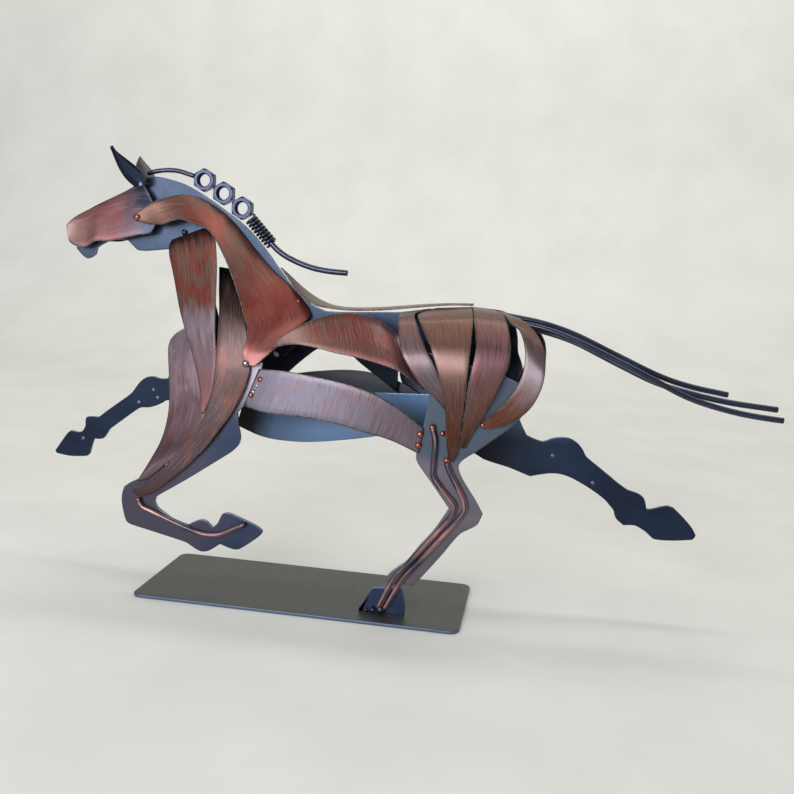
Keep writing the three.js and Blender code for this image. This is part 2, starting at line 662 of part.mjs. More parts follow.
function buildRightHindLeg() {
  const y = LEG_PLANE;
  const runs = [
    [[68, 129.4], [70, 150]],
    [[70, 150], [104, 148], [121.5, 139.5]],
    [[121.5, 139.5], [120, 128], [123.4, 118.8], [129, 108.5]],
    [[129, 108.5], [139, 105.5], [145, 108], [155, 109], [162, 105], [167, 98]],
    [[167, 98], [181, 88], [193, 80], [200, 78], [204, 75], [206, 68.5]],
    [[206, 68.5], [210, 69.5], [218, 72], [222, 71]],
    [[222, 71], [230, 64], [237, 55], [235, 52]],
    [[235, 52], [213, 50], [207, 54], [200, 57.5], [193, 57]],
    [[193, 57], [188, 61], [186, 66]],
    [[186, 66], [179, 73], [162, 82.5], [153, 85.5], [145, 85.5], [133, 82.5]],
    [[133, 82.5], [119, 87], [104, 90.5], [98, 93.5], [84, 98.5], [62, 105]],
    [[62, 105], [44, 116], [31, 127.4]],
    [[31, 127.4], [68, 129.4]],
  ];
  addPiece('right_hindleg_plate', cutPlate(runs, y, PLATE), NAVY);
  const front = [[118, 108], [146, 98.5], [160, 96.5], [180, 82.5], [199, 69.5], [216, 63]];
  const rear = [[112, 101], [140, 93.5], [155, 91], [172, 79.5], [190, 67], [212, 56]];
  addPiece('right_hindleg_front_rod', hindlegRod(front, RIGHT), COPPER);
  addPiece('right_hindleg_rear_rod', hindlegRod(rear, RIGHT), COPPER);
}

// ---------------------------------------------------------------- tail

function buildTail() {
  const rods = [
    [[103, 0, 184.4], [116, 0, 182.8], [133, 0.5, 180.4], [151, 1.5, 175.5], [176, 3, 165.2], [204, 4, 153.8],
      [220, 4.5, 149.5], [243, 5, 146]],
    [[98, 3.1, 179.6], [114, 3.6, 178.6], [133, 4.5, 175.5], [152, 5.5, 170.5], [177, 4, 160], [201, 0.5, 150.5],
      [219, -1, 146.3], [240, -1.5, 142.8], [270, -1.5, 140.5]],
    [[98, -3.1, 180.4], [114, -3.6, 180], [132, -4.5, 178], [152, -5, 172.3], [177, -5, 162.3], [201, -5, 151.8],
      [219, -5, 144], [238, -5, 139], [256, -5, 136.2], [273, -5, 135]],
  ];
  rods.forEach((points, i) => {
    addPiece(`tail_rod_${i + 1}`, sweep(smoothPath(points), ROD_RADIUS, 18), NAVY);
  });
}

// ---------------------------------------------------------------- assembly

buildBase();
buildSpine();
buildMane();
buildSaddleStrip();
for (const side of [LEFT, RIGHT]) {
  buildCheek(side);
  buildEar(side);
  buildNeckStrip(side);
  buildThroatStrip(side);
  buildChestStrip(side);
  buildShoulderStrip(side);
  buildFlankStrip(side);
  buildBellyStrip(side);
  buildHaunchStrips(side);
}
buildLeftForeleg();
buildRightForeleg();
buildLeftHindLeg();
buildRightHindLeg();
buildTail();

export default horse;
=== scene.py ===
"""Scrap metal horse: fine meshes, rivets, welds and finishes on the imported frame."""
import math
from itertools import permutations

import bmesh
import bpy
import numpy as np
from mathutils import Matrix, Vector


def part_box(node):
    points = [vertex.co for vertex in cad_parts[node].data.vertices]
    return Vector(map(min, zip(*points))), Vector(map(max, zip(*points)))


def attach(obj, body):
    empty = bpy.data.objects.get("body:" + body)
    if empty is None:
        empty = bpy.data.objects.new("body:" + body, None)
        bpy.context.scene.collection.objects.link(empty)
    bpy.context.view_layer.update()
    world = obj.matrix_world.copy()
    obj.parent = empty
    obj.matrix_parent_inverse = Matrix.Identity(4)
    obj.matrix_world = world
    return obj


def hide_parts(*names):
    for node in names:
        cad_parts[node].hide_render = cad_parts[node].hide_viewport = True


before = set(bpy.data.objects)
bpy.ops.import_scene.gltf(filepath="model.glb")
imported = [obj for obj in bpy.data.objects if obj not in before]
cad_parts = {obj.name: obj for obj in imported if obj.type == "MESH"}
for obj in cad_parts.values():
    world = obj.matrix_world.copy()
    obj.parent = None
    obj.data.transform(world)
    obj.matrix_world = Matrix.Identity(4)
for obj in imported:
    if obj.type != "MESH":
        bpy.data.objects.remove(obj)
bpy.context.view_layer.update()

MM = 0.001
LEFT, RIGHT = -1, 1


# ---------------------------------------------------------------- reading the CAD solids

def welded(node):
    """Vertices and triangles of a CAD node, with doubled vertices merged."""
    bm = bmesh.new()
    bm.from_mesh(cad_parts[node].data)
    bmesh.ops.remove_doubles(bm, verts=bm.verts, dist=0.01 * MM)
    bm.verts.index_update()
    points = np.array([v.co[:] for v in bm.verts])
    faces = [[v.index for v in f.verts] for f in bm.faces]
    bm.free()
    return points, faces


def flat_patches(points, faces):
    """Groups of touching faces that lie in one plane, the largest group first."""
    normals = []
    owners = {}
    for i, face in enumerate(faces):
        a, b, c = points[face[0]], points[face[1]], points[face[2]]
        normal = np.cross(b - a, c - a)
        normals.append(normal / np.linalg.norm(normal))
        for edge in zip(face, face[1:] + face[:1]):
            owners.setdefault(frozenset(edge), []).append(i)
    touching = [set() for _ in faces]
    for pair in owners.values():
        for i in pair:
            touching[i].update(pair)
    left = set(range(len(faces)))
    patches = []
    while left:
        seed = left.pop()
        patch, queue = [seed], [seed]
        while queue:
            for j in touching[queue.pop()] & left:
                if normals[seed] @ normals[j] > 0.9999:
                    left.discard(j)
                    patch.append(j)
                    queue.append(j)
        patches.append(patch)
    return sorted(patches, key=len, reverse=True)


def cross_sections(node, size):
    """A swept solid's rings of `size` vertices each, from one end cap to the other."""
    points, faces = welded(node)
    near = [set() for _ in points]
    for face in faces:
        for i in face:
            near[i].update(face)
    for patch in flat_patches(points, faces):
        rings = [{i for f in patch for i in faces[f]}]
        seen = set(rings[0])
        while len(rings[-1]) == size:
            reach = set().union(*(near[i] for i in rings[-1])) - seen
            if not reach:
                break
            rings.append(reach)
            seen |= reach
        if len(seen) == len(points) and all(len(ring) == size for ring in rings):
            return [points[sorted(ring)] for ring in rings]
    raise RuntimeError(f"{node} is not a sweep of {size} sides")


def outline_of(node, axes, normal):
    """The outline of a flat plate's face as an ordered loop in two axes, and its two faces' places
    on the third axis."""
    points, faces = welded(node)
    patch = flat_patches(points, faces)[0]
    edges = {}
    for f in patch:
        face = faces[f]
        for a, b in zip(face, face[1:] + face[:1]):
            edges[a, b] = True
    following = {a: b for a, b in edges if (b, a) not in edges}
    start = next(iter(following))
    loop = [start]
    while following[loop[-1]] != start:
        loop.append(following[loop[-1]])
    return points[loop][:, axes], points[:, normal].min(), points[:, normal].max()


# ---------------------------------------------------------------- smooth curves

SPAN_PIECES = 4


def smooth(stations, pieces):
    """Catmull-Rom through the stations, with `pieces` spans for each span of theirs."""
    p = np.asarray(stations, float)
    p = np.concatenate([[2 * p[0] - p[1]], p, [2 * p[-1] - p[-2]]])
    out = []
    for i in range(1, len(p) - 2):
        for k in range(pieces):
            t = k / pieces
            out.append(0.5 * (2 * p[i] + (p[i + 1] - p[i - 1]) * t
                              + (2 * p[i - 1] - 5 * p[i] + 4 * p[i + 1] - p[i + 2]) * t * t
                              + (3 * p[i] - p[i - 1] - 3 * p[i + 1] + p[i + 2]) * t ** 3))
    out.append(p[-2])
    return np.array(out)


def arc_length(points):
    steps = np.linalg.norm(np.diff(points, axis=0), axis=1)
    return np.concatenate([[0], np.cumsum(steps)])


# ---------------------------------------------------------------- meshes

def finish_piece(name, mesh, node=None, sharp_degrees=40):
    """Makes a piece that moves with the root body and, if a node is named, stands for it."""
    mesh.validate()
    bm = bmesh.new()
    bm.from_mesh(mesh)
    bmesh.ops.recalc_face_normals(bm, faces=bm.faces)
    for face in bm.faces:
        face.smooth = True
    for edge in bm.edges:
        if len(edge.link_faces) == 2:
            edge.smooth = edge.calc_face_angle() < math.radians(sharp_degrees)
    bm.to_mesh(mesh)
    bm.free()
    piece = bpy.data.objects.new(name, mesh)
    bpy.context.scene.collection.objects.link(piece)
    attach(piece, "root")
    if node:
        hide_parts(node)
    return piece


def grid_mesh(name, rings, maps=None, part_of=None):
    """A closed skin over rings of equal length, with an n-gon on each end.
    maps gives a value for each ring vertex, stored as point attributes."""
    count, size = len(rings), len(rings[0])
    vertices = np.concatenate(rings)
    faces = []
    for i in range(count - 1):
        for j in range(size):
            k = (j + 1) % size
            faces.append((i * size + j, i * size + k, (i + 1) * size + k, (i + 1) * size + j))
    faces.append(tuple(range(size - 1, -1, -1)))
    faces.append(tuple((count - 1) * size + j for j in range(size)))
    mesh = bpy.data.meshes.new(name)
    mesh.from_pydata([tuple(v) for v in vertices], [], faces)
    for key, values in (maps or {}).items():
        layer = mesh.attributes.new(key, "FLOAT_VECTOR", "POINT")
        layer.data.foreach_set("vector", np.asarray(values, np.float32).ravel())
    if part_of is not None:
        indices = [part_of[j] for _ in range(count - 1) for j in range(size)]
        mesh.polygons.foreach_set("material_index", indices + [CUT_EDGE, CUT_EDGE])
    return mesh


# ---------------------------------------------------------------- bent sheets

EDGE_RADIUS = 0.32 * MM
EDGE_TURNS = np.radians([30, 60, 90])
EDGE_POINTS = 2 * len(EDGE_TURNS)
FACE_COLUMNS = 7
OUTER_FACE, INNER_FACE, CUT_EDGE = 0, 1, 2


def strip_corners(node, start, outward):
    """A bent sheet's rings as [inner A, outer A, inner B, outer B]. `start` points to its first
    end. Edge A is the front one on an upright sheet and the upper one on a level sheet."""
    rings = cross_sections(node, 4)
    if (rings[-1].mean(0) - rings[0].mean(0)) @ start > 0:
        rings.reverse()
    widths = [max(np.linalg.norm(ring - ring[0], axis=1)) for ring in rings]
    widest = int(np.argmax(widths))
    ring = rings[widest]
    by_distance = np.argsort(np.linalg.norm(ring - ring[0], axis=1))
    rings[widest] = ring[by_distance]

    def follow(previous, following):
        shift = following.mean(0) - previous.mean(0)
        best = min(permutations(range(4)), key=lambda order: np.linalg.norm(
            following[list(order)] - previous - shift, axis=1).sum())
        return following[list(best)]

    for i in range(widest + 1, len(rings)):
        rings[i] = follow(rings[i - 1], rings[i])
    for i in range(widest - 1, -1, -1):
        rings[i] = follow(rings[i + 1], rings[i])
    corners = np.array(rings)
    if (corners[:, 1] - corners[:, 0]).mean(0) @ outward < 0:
        corners = corners[:, [1, 0, 3, 2]]
    across = (corners[:, 2] - corners[:, 0]).mean(0)
    backwards = across[2] > 0 if abs(across[2]) > abs(across[0]) else across[0] < 0
    if backwards:
        corners = corners[:, [2, 3, 0, 1]]
    return corners


def sheet_section(a, b, out, thickness, inset):
    """Points round one section of a sheet with rounded edges, and their distance from edge A."""
    width = np.linalg.norm(b - a)
    across = (b - a) / width
    half = thickness / 2 - inset
    r = min(EDGE_RADIUS, 0.3 * width, 0.8 * half)
    low, high = inset + r, width - inset - r
    face = np.linspace(low, high, FACE_COLUMNS)
    profile = [(s, half) for s in face]
    profile += [(high + r * math.sin(t), half - r + r * math.cos(t)) for t in EDGE_TURNS]
    profile += [(high + r * math.sin(t), r - half - r * math.cos(t)) for t in EDGE_TURNS[::-1]]
    profile += [(s, -half) for s in face[::-1]]
    profile += [(low - r * math.sin(t), r - half - r * math.cos(t)) for t in EDGE_TURNS]
    profile += [(low - r * math.sin(t), half - r + r * math.cos(t)) for t in EDGE_TURNS[::-1]]
    points = [a + across * s + out * h for s, h in profile]
    return points, np.array([s for s, _ in profile]), width


SHEET_PARTS = ([OUTER_FACE] * (FACE_COLUMNS - 1) + [CUT_EDGE] * (EDGE_POINTS + 1)
               + [INNER_FACE] * (FACE_COLUMNS - 1) + [CUT_EDGE] * (EDGE_POINTS + 1))


def sheet(node, start, outward, looks):
    """Replaces a bent CAD sheet by a smooth one with rounded edges. Its points carry `grain`,
    millimetres along and across, and `place`, the shares of its length and width and the
    millimetres to its nearest edge."""
    corners = smooth(strip_corners(node, np.array(start), np.array(outward)), SPAN_PIECES)
    a = corners[:, :2].mean(1)
    b = corners[:, 2:].mean(1)
    out = (corners[:, 1] + corners[:, 3]) - (corners[:, 0] + corners[:, 2])
    out /= np.linalg.norm(out, axis=1)[:, None]
    thickness = np.linalg.norm(corners[:, 1] - corners[:, 0], axis=1).mean()
    length = arc_length((a + b) / 2)

    def at(distance):
        values = []
        for curve in (a, b, out):
            values.append(np.array([np.interp(distance, length, curve[:, k]) for k in range(3)]))
        return values

    total = length[-1]
    inset = 0.5 * EDGE_RADIUS
    stops = [(0, inset), (inset, 0.3 * inset), (2 * inset, 0)]
    stops += [(d, 0) for d in length[1:-1] if 3 * inset < d < total - 3 * inset]
    stops += [(total - 2 * inset, 0), (total - inset, 0.3 * inset), (total, inset)]
    rings, grain, place = [], [], []
    for distance, shrink in stops:
        points, s, width = sheet_section(*at(distance), thickness, shrink)
        rings.append(points)
        for x in s:
            grain.append((distance / MM, (x - width / 2) / MM, 0))
            from_edge = min(x, width - x, distance, total - distance)
            place.append((distance / total, x / width, from_edge / MM))
    mesh = grid_mesh(node, rings, {"grain": grain, "place": place}, SHEET_PARTS)
    for look in looks:
        mesh.materials.append(look)
    return finish_piece(f"{node}_sheet", mesh, node)


# ---------------------------------------------------------------- cut plates

def rounded_outline(loop, corner_degrees=33):
    """The loop with its gentle bends made smooth and its sharp corners kept."""
    before = loop - np.roll(loop, 1, axis=0)
    after = np.roll(loop, -1, axis=0) - loop
    cross = before[:, 0] * after[:, 1] - before[:, 1] * after[:, 0]
    turn = np.degrees(np.abs(np.arctan2(cross, (before * after).sum(1))))
    corners = [i for i in range(len(loop)) if turn[i] > corner_degrees]
    out = []
    for i, first in enumerate(corners):
        last = corners[(i + 1) % len(corners)]
        run = loop[first:last + 1] if last > first else np.concatenate([loop[first:], loop[:last + 1]])
        out.extend(smooth(run, SPAN_PIECES)[:-1])
    return np.array(out)


def inset_outline(loop, distance):
    """The loop moved inwards. It runs anticlockwise seen from the side where it is listed."""
    before = loop - np.roll(loop, 1, axis=0)
    after = np.roll(loop, -1, axis=0) - loop
    before /= np.linalg.norm(before, axis=1)[:, None]
    after /= np.linalg.norm(after, axis=1)[:, None]
    inward = np.stack([-(before + after)[:, 1], (before + after)[:, 0]], axis=1)
    inward /= np.linalg.norm(inward, axis=1)[:, None]
    stretch = np.clip((inward * np.stack([-before[:, 1], before[:, 0]], axis=1)).sum(1), 0.5, 1)
    return loop + inward * (distance / stretch)[:, None]


def signed_area(loop):
    x, z = loop[:, 0], loop[:, 1]
    return 0.5 * float((x * np.roll(z, -1) - np.roll(x, -1) * z).sum())


def plate(node, look, bevel=0.22 * MM, edge_sheen_band=0.55 * MM, lying=False):
    """Replaces a cut plate by one with bevelled edges and, if it is upright, a smooth outline."""
    axes, normal = ([0, 1], 2) if lying else ([0, 2], 1)
    loop, low, high = outline_of(node, axes, normal)
    if signed_area(loop) < 0:
        loop = loop[::-1]
    if not lying:
        loop = rounded_outline(loop)
    rings, place = [], []
    # The innermost rings set how far in from the edge the enamel's painted edge highlight reaches.
    for inset, y in [(bevel + edge_sheen_band, low), (bevel, low), (0.3 * bevel, low + 0.3 * bevel),
                     (0, low + bevel), (0, high - bevel), (0.3 * bevel, high - 0.3 * bevel),
                     (bevel, high), (bevel + edge_sheen_band, high)]:
        ring = np.full((len(loop), 3), y)
        ring[:, axes] = inset_outline(loop, inset)
        rings.append(ring)
        place += [(0, 0, inset / MM)] * len(ring)
    mesh = grid_mesh(node, rings, {"place": place})
    mesh.materials.append(look)
    return finish_piece(f"{node}_cut", mesh, node)


# ---------------------------------------------------------------- rods

def frames_along(points):
    """Two directions across the curve at each point, without twist."""
    tangents = np.gradient(points, axis=0)
    tangents /= np.linalg.norm(tangents, axis=1)[:, None]
    side = np.cross(tangents[0], (0.3, 1, 0.2))
    sides, ups = [], []
    for tangent in tangents:
        side = side - tangent * (side @ tangent)
        side /= np.linalg.norm(side)
        sides.append(side)
        ups.append(np.cross(tangent, side))
    return np.array(sides), np.array(ups)


def rod(node, size, look, sides=20, name="rod"):
    """Replaces a swept CAD rod by a round one with chamfered ends."""
    rings = cross_sections(node, size)
    if rings[0].mean(0)[0] > rings[-1].mean(0)[0]:
        rings.reverse()
    centres = smooth([ring.mean(0) for ring in rings], SPAN_PIECES)
    radius = np.linalg.norm(rings[1] - rings[1].mean(0), axis=1).mean()
    length = arc_length(centres)
    total = length[-1]
    chamfer = 0.25 * radius
    stops = [(0, radius - chamfer), (0.3 * chamfer, radius - 0.3 * chamfer), (chamfer, radius)]
    stops += [(d, radius) for d in length[1:-1] if 2 * chamfer < d < total - 2 * chamfer]
    stops += [(total - chamfer, radius), (total - 0.3 * chamfer, radius - 0.3 * chamfer),
              (total, radius - chamfer)]
    path = np.array([[np.interp(d, length, centres[:, k]) for k in range(3)] for d, _ in stops])
    side, up = frames_along(path)
    angles = np.linspace(0, 2 * math.pi, sides, endpoint=False)
    out_rings, grain, place = [], [], []
    for i, (distance, r) in enumerate(stops):
        out_rings.append([path[i] + r * (math.cos(t) * side[i] + math.sin(t) * up[i]) for t in angles])
        for t in angles:
            grain.append((distance / MM, radius * math.sin(t) / MM, radius * math.cos(t) / MM))
            place.append((distance / total, 0, 1))
    mesh = grid_mesh(node, out_rings, {"grain": grain, "place": place})
    mesh.materials.append(look)
    return finish_piece(f"{node}_{name}", mesh, node, sharp_degrees=50)


def leaf(node, look):
    """Replaces a rolled CAD leaf by the same surface made smooth."""
    points, faces = welded(node)
    mesh = bpy.data.meshes.new(node)
    mesh.from_pydata([tuple(p) for p in points], [], faces)
    bm = bmesh.new()
    bm.from_mesh(mesh)
    bmesh.ops.join_triangles(bm, faces=bm.faces, angle_face_threshold=math.pi,
                             angle_shape_threshold=math.pi)
    crease = bm.edges.layers.float.new("crease_edge")
    for edge in bm.edges:
        if edge.calc_face_angle(0) > math.radians(60):
            edge[crease] = 0.6
    bm.to_mesh(mesh)
    bm.free()
    mesh.materials.append(look)
    piece = finish_piece(f"{node}_leaf", mesh, node, sharp_degrees=60)
    smoother = piece.modifiers.new("smooth", "SUBSURF")
    smoother.levels = smoother.render_levels = 2


# ---------------------------------------------------------------- nuts and beads

def nut(node, look):
    """Replaces a CAD nut by one with chamfered corners and a threaded hole."""
    low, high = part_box(node)
    centre = (low + high) / 2
    half = (high.y - low.y) / 2
    flats = (high.x - low.x) / 2
    chamfer_radius = 0.97 * flats
    hole = 0.62 * flats
    mouth = 0.09 * flats
    thread = 0.035 * flats
    columns = 96
    rings = []
    for k in range(columns):
        t = 2 * math.pi * k / columns
        sixth = math.remainder(t, math.pi / 3)
        reach = flats / math.cos(sixth)
        drop = max(0, reach - chamfer_radius) * math.tan(math.radians(30))
        profile = [(hole + mouth, half), (chamfer_radius, half), (reach, half - drop),
                   (reach, drop - half), (chamfer_radius, -half), (hole + mouth, -half)]
        rows = 10
        for j in range(rows + 1):
            y = (half - mouth) * (2 * j / rows - 1)
            profile.append((hole + (thread if j % 2 else 0), y))
        rings.append([(centre.x + r * math.cos(t), centre.y + y, centre.z + r * math.sin(t))
                      for r, y in profile])
    size = len(rings[0])
    vertices = [p for ring in rings for p in ring]
    faces = []
    for i in range(columns):
        k = (i + 1) % columns
        for j in range(size):
            m = (j + 1) % size
            faces.append((i * size + j, i * size + m, k * size + m, k * size + j))
    mesh = bpy.data.meshes.new(node)
    mesh.from_pydata(vertices, [], faces)
    mesh.materials.append(look)
    return finish_piece(f"{node}_hex", mesh, node, sharp_degrees=24)


def bead(name, centre, radius, look, outward=(0, -1, 0), height=0.6, lumps=0.0, seed=0):
    """A dome, its height a share of its radius: a rivet head if smooth, a weld bead if lumpy."""
    centre = Vector(centre) * MM
    normal = Vector(outward).normalized()
    turn = Vector((0, 0, 1)).rotation_difference(normal).to_matrix().to_4x4()
    bm = bmesh.new()
    bmesh.ops.create_uvsphere(bm, u_segments=24, v_segments=14, radius=1.0)
    for v in bm.verts:
        angle = math.atan2(v.co.y, v.co.x)
        wave = math.sin(3 * angle + seed) + 0.6 * math.sin(5 * angle - 2 * seed)
        swell = 1 + lumps * wave * (1 - abs(v.co.z))
        v.co.x *= radius * MM * swell
        v.co.y *= radius * MM * swell
        v.co.z *= height * radius * MM * (1 + lumps * math.sin(2 * angle + 3 * seed) * (1 - v.co.z ** 2))
    bm.transform(Matrix.Translation(centre) @ turn)
    mesh = bpy.data.meshes.new(name)
    bm.to_mesh(mesh)
    bm.free()
    mesh.materials.append(look)
    piece = finish_piece(name, mesh, None, sharp_degrees=80)


# ---------------------------------------------------------------- finishes

def srgb(r, g, b, depth=1.0):
    """A colour given as 0-255 display values, as linear light, darkened by `depth`."""
    channels = [c / 255 for c in (r, g, b)]
    linear = [c / 12.92 if c <= 0.04045 else ((c + 0.055) / 1.055) ** 2.4 for c in channels]
    return (*[depth * c for c in linear], 1.0)


class Finish:
    """A material under construction. Each helper adds nodes and returns an output socket."""

    def __init__(self, name):
        self.material = bpy.data.materials.new(name)
        self.material.use_nodes = True
        self.tree = self.material.node_tree
        self.shader = self.tree.nodes["Principled BSDF"]

    def node(self, kind, settings=None, **inputs):
        node = self.tree.nodes.new(kind)
        for key, value in (settings or {}).items():
            setattr(node, key, value)
        for key, value in inputs.items():
            self.put(node.inputs[key.replace("_", " ")], value)
        return node

    def put(self, socket, value):
        if isinstance(value, bpy.types.NodeSocket):
            self.tree.links.new(value, socket)
        else:
            socket.default_value = value

    def set(self, **inputs):
        for key, value in inputs.items():
            self.put(self.shader.inputs[key.replace("_", " ")], value)

    def math(self, operation, a, b=0.0):
        node = self.tree.nodes.new("ShaderNodeMath")
        node.operation = operation
        for socket, value in zip(node.inputs, (a, b)):
            self.put(socket, value)
        return node.outputs[0]

    def attribute(self, name):
        node = self.node("ShaderNodeAttribute", {"attribute_name": name})
        return node.outputs["Vector"]

    def parts(self, vector):
        return self.node("ShaderNodeSeparateXYZ", Vector=vector).outputs

    def object_mm(self):
        """Position in the part's own space, in millimetres."""
        coordinates = self.node("ShaderNodeTexCoord").outputs["Object"]
        return self.scaled(coordinates, (1000, 1000, 1000))

    def scaled(self, vector, scale, offset=(0, 0, 0)):
        return self.node("ShaderNodeMapping", Vector=vector, Scale=scale,
                         Location=offset).outputs[0]

    def noise(self, vector, scale=1.0, detail=3.0, roughness=0.55, distortion=0.0):
        return self.node("ShaderNodeTexNoise", Vector=vector, Scale=scale, Detail=detail,
                         Roughness=roughness, Distortion=distortion).outputs[0]

    def ramp(self, factor, low, high, to_low=0.0, to_high=1.0):
        node = self.node("ShaderNodeMapRange", {"interpolation_type": "SMOOTHSTEP"}, Value=factor)
        for key, value in (("From Min", low), ("From Max", high), ("To Min", to_low),
                           ("To Max", to_high)):
            node.inputs[key].default_value = value
        return node.outputs[0]

    def colours(self, factor, stops, depth=1.0):
        """A colour ramp through (position, colour) stops."""
        node = self.node("ShaderNodeValToRGB", Fac=factor)
        elements = node.color_ramp.elements
        while len(elements) > 1:
            elements.remove(elements[-1])
        elements[0].position, elements[0].color = stops[0][0], srgb(*stops[0][1], depth)
        for position, colour in stops[1:]:
            element = elements.new(position)
            element.color = srgb(*colour, depth)
        return node.outputs[0]

    def mix(self, factor, a, b, blend="MIX"):
        node = self.tree.nodes.new("ShaderNodeMix")
        node.data_type = "RGBA"
        node.blend_type = blend
        self.put(node.inputs[0], factor)
        self.put(node.inputs[6], a)
        self.put(node.inputs[7], b)
        return node.outputs[2]

    def bump(self, height, strength, distance):
        node = self.node("ShaderNodeBump", Height=height, Strength=strength, Distance=distance)
        self.set(Normal=node.outputs[0])


TINT_DEPTH = 0.62             # the clear tints are this much darker than their named colours


def brushed(name, stops, red=(150, 70, 50), red_amount=0.5, red_at=(0.0, 1.0), across=False, seed=0.0):
    """Sheet that was brushed, tinted with clear colours and lacquered. `stops` tint it along its
    length, red patches gather between two shares of its length, and the brush marks run along
    it, or across it."""
    f = Finish(name)
    grain = f.attribute("grain")
    place = f.attribute("place")
    along, share, from_edge = f.parts(place)
    fine = (1.5, 0.05, 1) if across else (0.05, 1.5, 1)
    wide = (0.35, 0.045, 1) if across else (0.045, 0.35, 1)
    streaks = f.noise(f.scaled(grain, fine, (seed, seed * 2, 0)), detail=4.0, roughness=0.7)
    bands = f.noise(f.scaled(grain, wide, (seed * 3, seed, 0)), detail=3.0)
    blotches = f.noise(f.scaled(grain, (0.06, 0.09, 1), (seed, 0, seed)), detail=2.0, distortion=0.6)
    scratches = f.noise(f.scaled(grain, tuple(c * 2.4 for c in fine[:2]) + (1,), (0, seed, 0)),
                        detail=2.0, roughness=0.5)
    wander = f.math("ADD", along, f.math("MULTIPLY", f.math("SUBTRACT", bands, 0.5), 0.35))
    colour = f.colours(wander, stops, TINT_DEPTH)
    redness = f.math("MULTIPLY", f.ramp(blotches, 0.44, 0.66), red_amount)
    mid, half = sum(red_at) / 2, (red_at[1] - red_at[0]) / 2
    near_red = f.ramp(f.math("ABSOLUTE", f.math("SUBTRACT", along, mid)), half, half * 0.6)
    colour = f.mix(f.math("MULTIPLY", redness, near_red), colour, srgb(*red, TINT_DEPTH))
    pale = f.mix(0.5, colour, srgb(200, 180, 178, TINT_DEPTH))
    dark = f.mix(0.7, colour, srgb(52, 34, 34, TINT_DEPTH))
    colour = f.mix(f.ramp(streaks, 0.5, 0.78, 0.0, 0.75), colour, pale)
    colour = f.mix(f.ramp(streaks, 0.5, 0.26, 0.0, 0.8), colour, dark)
    colour = f.mix(f.ramp(scratches, 0.64, 0.72, 0.0, 0.5), colour, pale)
    ragged = f.math("ADD", from_edge, f.math("MULTIPLY", f.math("SUBTRACT", bands, 0.5), 1.6))
    colour = f.mix(f.ramp(ragged, 1.1, 0.15, 0.0, 0.75), colour, srgb(40, 28, 30))
    f.set(Base_Color=colour)
    f.set(Metallic=0.8)
    f.set(Roughness=f.ramp(streaks, 0.3, 0.7, 0.34, 0.5))
    f.set(Coat_Weight=0.2, Coat_Roughness=0.25)
    f.bump(f.math("ADD", streaks, f.math("MULTIPLY", scratches, 0.5)), 0.35, 0.08 * MM)
    return f.material


def enamel(name, colour, light, roughness=0.38, metallic=0.8, mottle=0.5, coat=0.1, use_place=True,
           rub_and_sheen=(112, 122, 140), fades=()):
    """Satin blue-black enamel with soft clouds, brush marks and a painted highlight along its edges. Each fade
    turns it to a colour as a coordinate, 0 for x and 2 for z, goes from one place to another."""
    f = Finish(name)
    where = f.object_mm()
    clouds = f.noise(f.scaled(where, (0.03, 0.03, 0.05)), detail=3.0, distortion=0.3)
    speckle = f.noise(f.scaled(where, (0.9, 0.9, 0.9)), detail=3.0, roughness=0.7)
    brush = f.noise(f.scaled(where, (0.12, 1.0, 0.9)), detail=4.0, roughness=0.65)
    shade = f.mix(f.ramp(clouds, 0.35, 0.68, 0.0, mottle), srgb(*colour), srgb(*light))
    shade = f.mix(f.ramp(brush, 0.55, 0.75, 0.0, 0.25), shade, srgb(*light))
    for axis, first, last, other in fades:
        ragged = f.math("ADD", f.parts(where)[axis], f.math("MULTIPLY", clouds, 6.0))
        shade = f.mix(f.ramp(ragged, first, last), shade, srgb(*other))
    shade = f.mix(f.ramp(speckle, 0.62, 0.74, 0.0, 0.3), shade, srgb(24, 30, 44))
    if use_place:
        from_edge = f.parts(f.attribute("place"))[2]
        # Painted highlight: a pale blue band along the plate's edges, within about half a millimetre of them.
        edge_sheen_mask = f.ramp(f.math("ADD", from_edge, f.math("MULTIPLY", speckle, 0.35)), 0.5, 0.2, 0.0, 0.5)
        shade = f.mix(edge_sheen_mask, shade, srgb(*rub_and_sheen))
    f.set(Base_Color=shade)
    f.set(Metallic=metallic)
    f.set(Roughness=f.ramp(speckle, 0.3, 0.7, roughness - 0.05, roughness + 0.1))
    f.set(Coat_Weight=coat, Coat_Roughness=0.2)
    f.bump(f.math("ADD", clouds, f.math("MULTIPLY", speckle, 0.35)), 0.25, 0.2 * MM)
    return f.material


def painted_shade_lining(name, stops, front):
    """The inner face of a sheet with painted shade: dark to light across its width and black towards its front
    end.
    """
    f = Finish(name)
    along, share, _ = f.parts(f.attribute("place"))
    clouds = f.noise(f.scaled(f.object_mm(), (0.05, 0.05, 0.05)), detail=3.0)
    shift = f.math("MULTIPLY", f.math("SUBTRACT", clouds, 0.5), 0.12)
    colour = f.colours(f.math("ADD", share, shift), stops)
    colour = f.mix(f.ramp(f.math("ADD", along, shift), front, 0.3 * front), colour, srgb(4, 5, 8))
    f.set(Base_Color=colour)
    f.set(Metallic=0.3, Roughness=0.45)
    f.bump(clouds, 0.15, 0.2 * MM)
    return f.material


